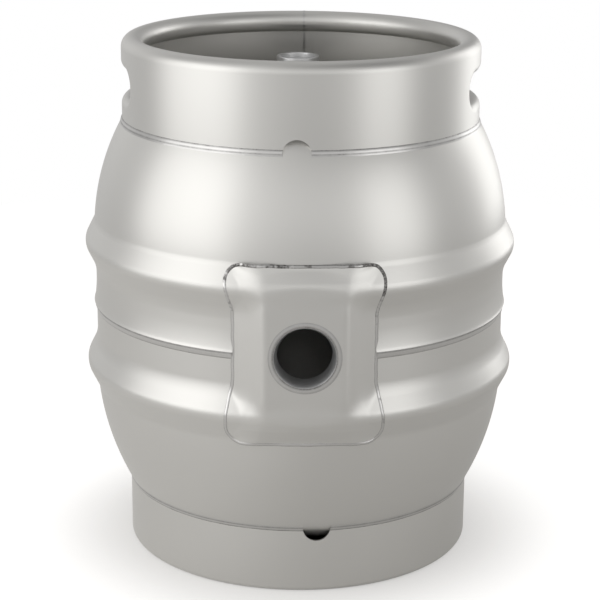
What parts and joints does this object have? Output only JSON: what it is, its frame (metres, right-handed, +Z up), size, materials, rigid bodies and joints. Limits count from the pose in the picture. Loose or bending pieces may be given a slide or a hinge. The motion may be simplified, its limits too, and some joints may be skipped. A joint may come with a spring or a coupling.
{
  "type": "beer cask",
  "caption": "Barrel-shaped stainless steel beer cask with rolling rings, a side shive bush, a top keystone bush, a rolled top chime with hand holds and a foot chime.",
  "frame": {"origin": "centre of the foot chime on the floor, on the cask's upright axis", "axes": "+Z up the cask's axis, -Y out through the shive bush, +X to the right when the shive bush is seen from the front"},
  "size_m": [0.399, 0.399, 0.478],
  "materials": {
    "satin_stainless": "satin bead-blasted stainless sheet",
    "turned_stainless": "turned and polished stainless bush",
    "stainless_weld": "TIG weld bead, brushed"
  },
  "bodies": {
    "root": {"upper_shell": "satin_stainless", "lower_shell": "satin_stainless", "shive_panel": "satin_stainless", "shive_panel_weld": "stainless_weld", "girth_weld": "stainless_weld", "shive_bush": "turned_stainless", "shive_bush_weld": "stainless_weld", "keystone_bush": "turned_stainless", "keystone_bush_weld": "stainless_weld", "top_chime": "satin_stainless", "top_chime_weld": "stainless_weld", "top_chime_seam_weld": "stainless_weld", "foot_chime": "satin_stainless", "foot_chime_weld": "stainless_weld", "foot_chime_seam_weld": "stainless_weld"}
  },
  "joints": []
}
